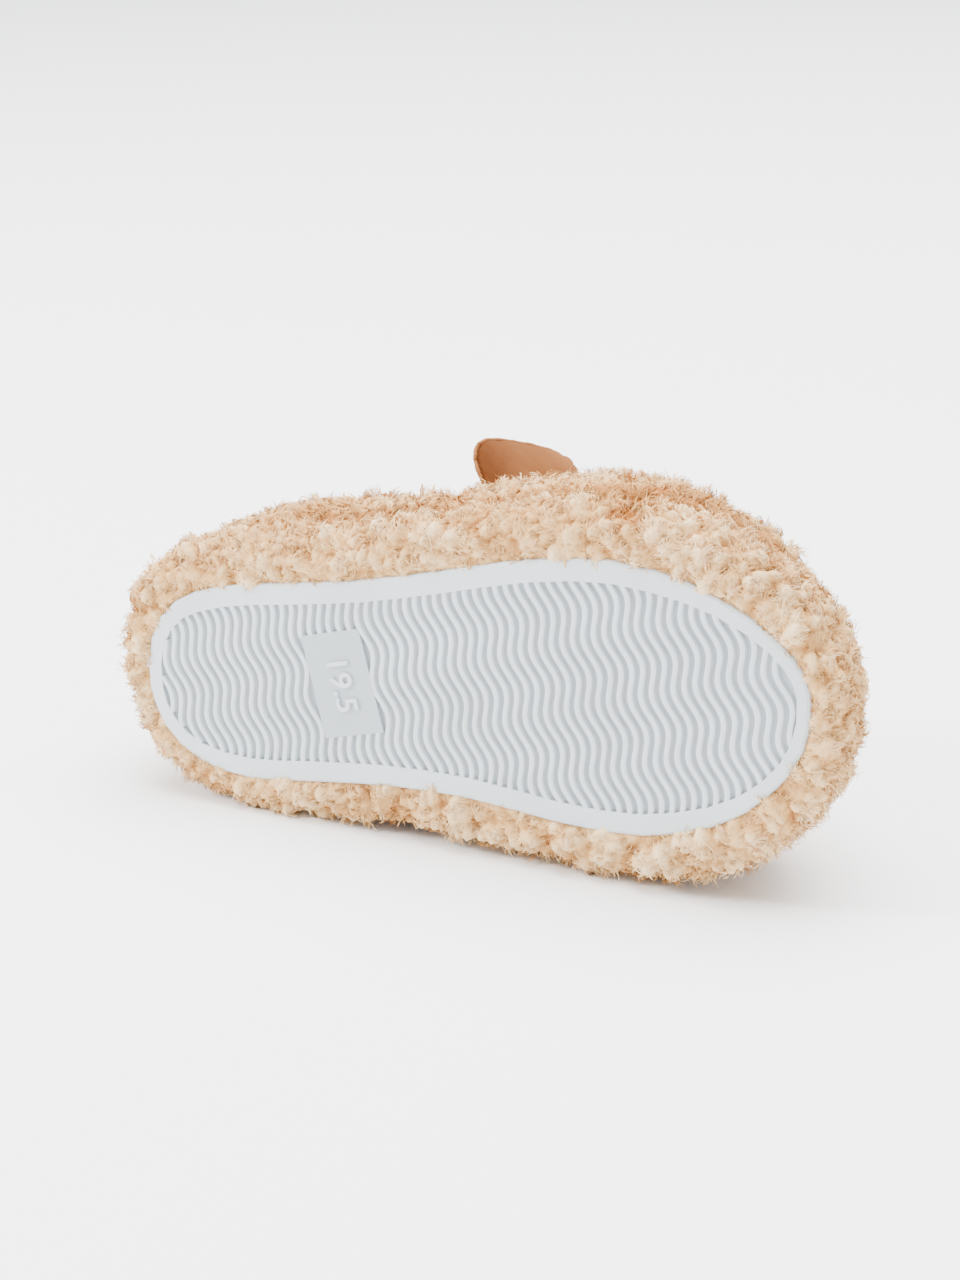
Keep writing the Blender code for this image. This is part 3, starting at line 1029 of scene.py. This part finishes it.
    def number(self, look: bpy.types.Material) -> bpy.types.Object:
        """A plain foot length in centimetres, raised on the panel.

        Args:
            look: its material.

        Returns:
            The number as a mesh.
        """
        text = bpy.data.curves.new("size_number", "FONT")
        text.body = "19.5"
        text.size = self.number_size
        text.extrude = self.number_raise
        text.bevel_depth = self.number_edge
        text.align_x = "CENTER"
        text.align_y = "CENTER"
        shape = bpy.data.objects.new("size_number_form", text)
        bpy.context.scene.collection.objects.link(shape)
        bpy.context.view_layer.update()
        graph = bpy.context.evaluated_depsgraph_get()
        mesh = bpy.data.meshes.new_from_object(shape.evaluated_get(graph))
        bpy.data.objects.remove(shape)
        mesh.materials.clear()
        mesh.materials.append(look)
        made = bpy.data.objects.new("size_number", mesh)
        bpy.context.scene.collection.objects.link(made)
        down = Matrix(((0, 1, 0), (1, 0, 0), (0, 0, -1))).to_4x4()
        turn = Matrix.Rotation(-self.turn, 4, "Z")
        made.matrix_world = SHOE @ Matrix.Translation((self.panel_station, -0.002, 0.0)) @ turn @ down
        return made


@dataclass
class Ear:
    """A stuffed velvet ear with a stitched rim.

    Attributes:
        side: which ear it is.
        front: the way its front faces, in the shoe's frame.
        rise: the way it stands up, in the shoe's frame.
        lifted: how much taller its toe side grows.
        sagged: how far its crown leans over.
        voxel: the fineness of its mesh.
        rim_height: how far the rim stands out.
        seam_depth: how deep the seam beside the rim is.
        wrinkle_height: how far its wrinkles stand out.
    """

    side: Side
    front: Vector
    rise: Vector
    lifted: float
    sagged: float
    voxel: float = 0.00055
    rim_height: float = 0.00045
    seam_depth: float = 0.00055
    wrinkle_height: float = 0.00022

    def build(self, look: bpy.types.Material) -> bpy.types.Object:
        """Builds the ear with a rim, a seam beside it and soft wrinkles.

        Args:
            look: its material.

        Returns:
            The ear.
        """
        node = "ear_" + self.side.value
        made = fine_copy(node, node + "_velvet", self.voxel, 4)
        made.data.materials.clear()
        made.data.materials.append(look)
        facing = (SHOE.to_3x3() @ self.front).normalized()
        self.flop(made)
        heights = [(TO_SHOE @ v.co).z for v in made.data.vertices]
        low, high = min(heights), max(heights)
        normals = [v.normal.copy() for v in made.data.vertices]
        depths = []
        for vert, normal, height in zip(made.data.vertices, normals, heights):
            turned = abs(normal.dot(facing))
            seam = math.exp(-((turned - 0.80) / 0.07) ** 2)
            rim = 1.0 - smooth(turned, 0.62, 0.80)
            wrinkle = noise.noise(vert.co / 0.0035) * self.wrinkle_height
            vert.co += normal * (rim * self.rim_height - seam * self.seam_depth + wrinkle)
            rise = (height - low) / (high - low)
            # Painted shade: darker towards the ear's root and in the seam beside the rim; lighter on the rim
            depths.append(min(max(0.18 + 0.42 * rise + 0.45 * rim - 0.45 * seam, 0.0), 1.0))
        write_depth(made.data, depths)
        made.data.shade_smooth()
        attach(made, "root")
        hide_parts(node)
        log.info("%s: %d faces", node, len(made.data.polygons))
        return made

    def flop(self, made: bpy.types.Object) -> None:
        """Lets the ear sag in its own plane, more towards its crown.

        Args:
            made: the ear, whose vertices are moved.
        """
        rise = self.rise.normalized()
        across = rise.cross(self.front).normalized()
        if across.z < 0:
            across = -across
        places = [TO_SHOE @ v.co for v in made.data.vertices]
        low = min(place.dot(rise) for place in places)
        high = max(place.dot(rise) for place in places)
        wides = [place.dot(across) for place in places]
        middle = (min(wides) + max(wides)) / 2
        half = (max(wides) - min(wides)) / 2
        for vert, place, wide in zip(made.data.vertices, places, wides):
            up = (place.dot(rise) - low) / (high - low)
            side = (wide - middle) / half
            stretch = side * half * (0.08 + 0.26 * up)
            lift = (high - low) * up * self.lifted * (side + 0.25)
            sag = (high - low) * max(up - 0.3, 0.0) * self.sagged
            vert.co = SHOE @ (place + across * (stretch + sag) + rise * (lift + 0.3 * sag))


@dataclass
class Studio:
    """Floor, lights, backdrop colour and camera.

    Attributes:
        lens: the camera's focal length in millimetres.
        place: where the camera stands.
        turn: how the camera is turned.
        half_floor: half the length of the floor's side.
        sky: the colour of the surroundings.
        sky_strength: how bright they are.
    """

    lens: float = 99.375
    place: tuple[float, float, float] = (0.3319, -0.6435, 0.2931)
    turn: tuple[float, float, float] = (1.2431, 0.01055, 0.49548)
    half_floor: float = 6.0
    sky: tuple[float, float, float] = (0.95, 0.975, 1.0)
    sky_strength: float = 1.4

    def build(self) -> None:
        """Builds the studio and sets the camera."""
        far = self.half_floor
        corners = [(-far, -far, 0), (far, -far, 0), (far, far, 0), (-far, far, 0)]
        floor = add_mesh("floor", corners, [(0, 1, 2, 3)], floor_material())
        self.light("top_light", (0.2, 0.3, 3.0), 3.2, 420.0)
        self.light("side_light", (-1.5, -0.9, 0.9), 0.4, 60.0)
        world = bpy.data.worlds.new("studio")
        world.use_nodes = True
        back = world.node_tree.nodes["Background"]
        back.inputs["Color"].default_value = (*self.sky, 1.0)
        back.inputs["Strength"].default_value = self.sky_strength
        bpy.context.scene.world = world
        lens = bpy.data.cameras.new("camera")
        lens.sensor_width = 36.0
        lens.sensor_fit = "HORIZONTAL"
        lens.lens = self.lens
        camera = bpy.data.objects.new("camera", lens)
        bpy.context.scene.collection.objects.link(camera)
        camera.location = self.place
        camera.rotation_euler = Euler(self.turn, "XYZ")
        bpy.context.scene.camera = camera

    def light(self, name: str, place: tuple[float, float, float], size: float, power: float) -> None:
        """One soft square light aimed at the shoe.

        Args:
            name: its name.
            place: where it stands.
            size: the length of its side.
            power: its power in watts.
        """
        data = bpy.data.lights.new(name, "AREA")
        data.shape = "SQUARE"
        data.size = size
        data.energy = power
        made = bpy.data.objects.new(name, data)
        bpy.context.scene.collection.objects.link(made)
        made.location = place
        aim = Vector((0.0, 0.0, 0.04)) - made.location
        made.rotation_euler = aim.to_track_quat("-Z", "Y").to_euler()


def inside_shoe(place: Vector, normal: Vector) -> bool:
    """Whether a place of the upper faces the foot, judged from the hollow's middle line.

    Args:
        place: the place in the shoe's frame.
        normal: the way the cloth faces there.

    Returns:
        True on the lining's side.
    """
    bow = 0.012 * smooth(place.x, 0.05, 0.15)
    middle = Vector((min(max(place.x, 0.045), 0.16), bow * 0.3, 0.036))
    return place.z > HOLLOW_FOOT and (place - middle).dot(normal) < 0


def nowhere(place: Vector, normal: Vector) -> bool:
    """No place is lined."""
    return False


def everywhere(place: Vector, normal: Vector) -> bool:
    """Every place is lined."""
    return True


def on_roll(place: Vector, normal: Vector) -> bool:
    """Whether a place of the platform lies on its visible roll.

    Args:
        place: the place in the shoe's frame.
        normal: the way the cloth faces there.

    Returns:
        True on the roll, False on its top and in the sole's pocket.
    """
    side = Vector((normal.x, normal.y)).length > 0.35 or normal.z < -0.3
    pocket = place.z > ROLL_SIDE_FOOT and normal.z < -0.95
    return place.z < ROLL_TOP and side and not pocket


def on_heel_roll(place: Vector, normal: Vector) -> bool:
    """Whether a place lies on the heel half of the roll."""
    return place.x < ROLL_SPLIT and on_roll(place, normal)


def on_toe_roll(place: Vector, normal: Vector) -> bool:
    """Whether a place lies on the toe half of the roll."""
    return place.x >= ROLL_SPLIT and on_roll(place, normal)


def on_quarters(place: Vector, normal: Vector) -> bool:
    """Whether a place lies on the outside of the heel and quarters."""
    return place.z > UPPER_FOOT and not inside_shoe(place, normal) and place.x < UPPER_SPLIT


def on_vamp(place: Vector, normal: Vector) -> bool:
    """Whether a place lies on the outside of the vamp and toe."""
    return place.z > UPPER_FOOT and not inside_shoe(place, normal) and place.x >= UPPER_SPLIT


def main() -> None:
    """Builds every piece of the slipper and the studio around it."""
    logging.basicConfig(level=logging.INFO, format="%(name)s: %(message)s")
    noise.seed_set(NOISE_SEED)
    fibres = fibre_group()
    plush = cloth_material(PLUSH, fibres, bump=0.0005)
    lining = cloth_material(LINING, fibres, bump=0.0003)
    velvet = cloth_material(VELVET, fibres, bump=0.00018)
    rubber = rubber_material(RUBBER)

    roll = PlushPiece("platform", "plush", fill=0.9, voxel=0.00115, outer=PLUSH_PILE, inner=nowhere)
    roll_body = roll.build(plush)
    upper = PlushPiece("upper", "plush", fill=0.8, voxel=0.00130, outer=PLUSH_PILE, inner=inside_shoe,
                       folded=1.0)
    upper_body = upper.build(plush)
    PlushPiece("insole", "lining", fill=0.7, voxel=0.0016, outer=LINING_PILE, inner=everywhere).build(lining)

    for name, body, allowed, seed in (("roll_fibres_heel", roll_body, on_heel_roll, 3),
                                      ("roll_fibres_toe", roll_body, on_toe_roll, 4),
                                      ("quarter_fibres", upper_body, on_quarters, 5),
                                      ("vamp_fibres", upper_body, on_vamp, 7)):
        tuft = Fibres(name, "plush", count=34000, length=0.0040, thickness=0.00032, seed=seed)
        tuft.build(body, allowed, plush)

    Tread().build(rubber)
    Ear(Side.LATERAL, front=Vector((0.82, -0.52, 0.2)), rise=Vector((-0.39, -0.59, 0.705)),
        lifted=0.34, sagged=0.25).build(velvet)
    Ear(Side.MEDIAL, front=Vector((0.82, 0.55, 0.2)), rise=Vector((-0.39, 0.06, 0.92)),
        lifted=0.05, sagged=0.1).build(velvet)
    Studio().build()


if __name__ == "__main__":
    main()
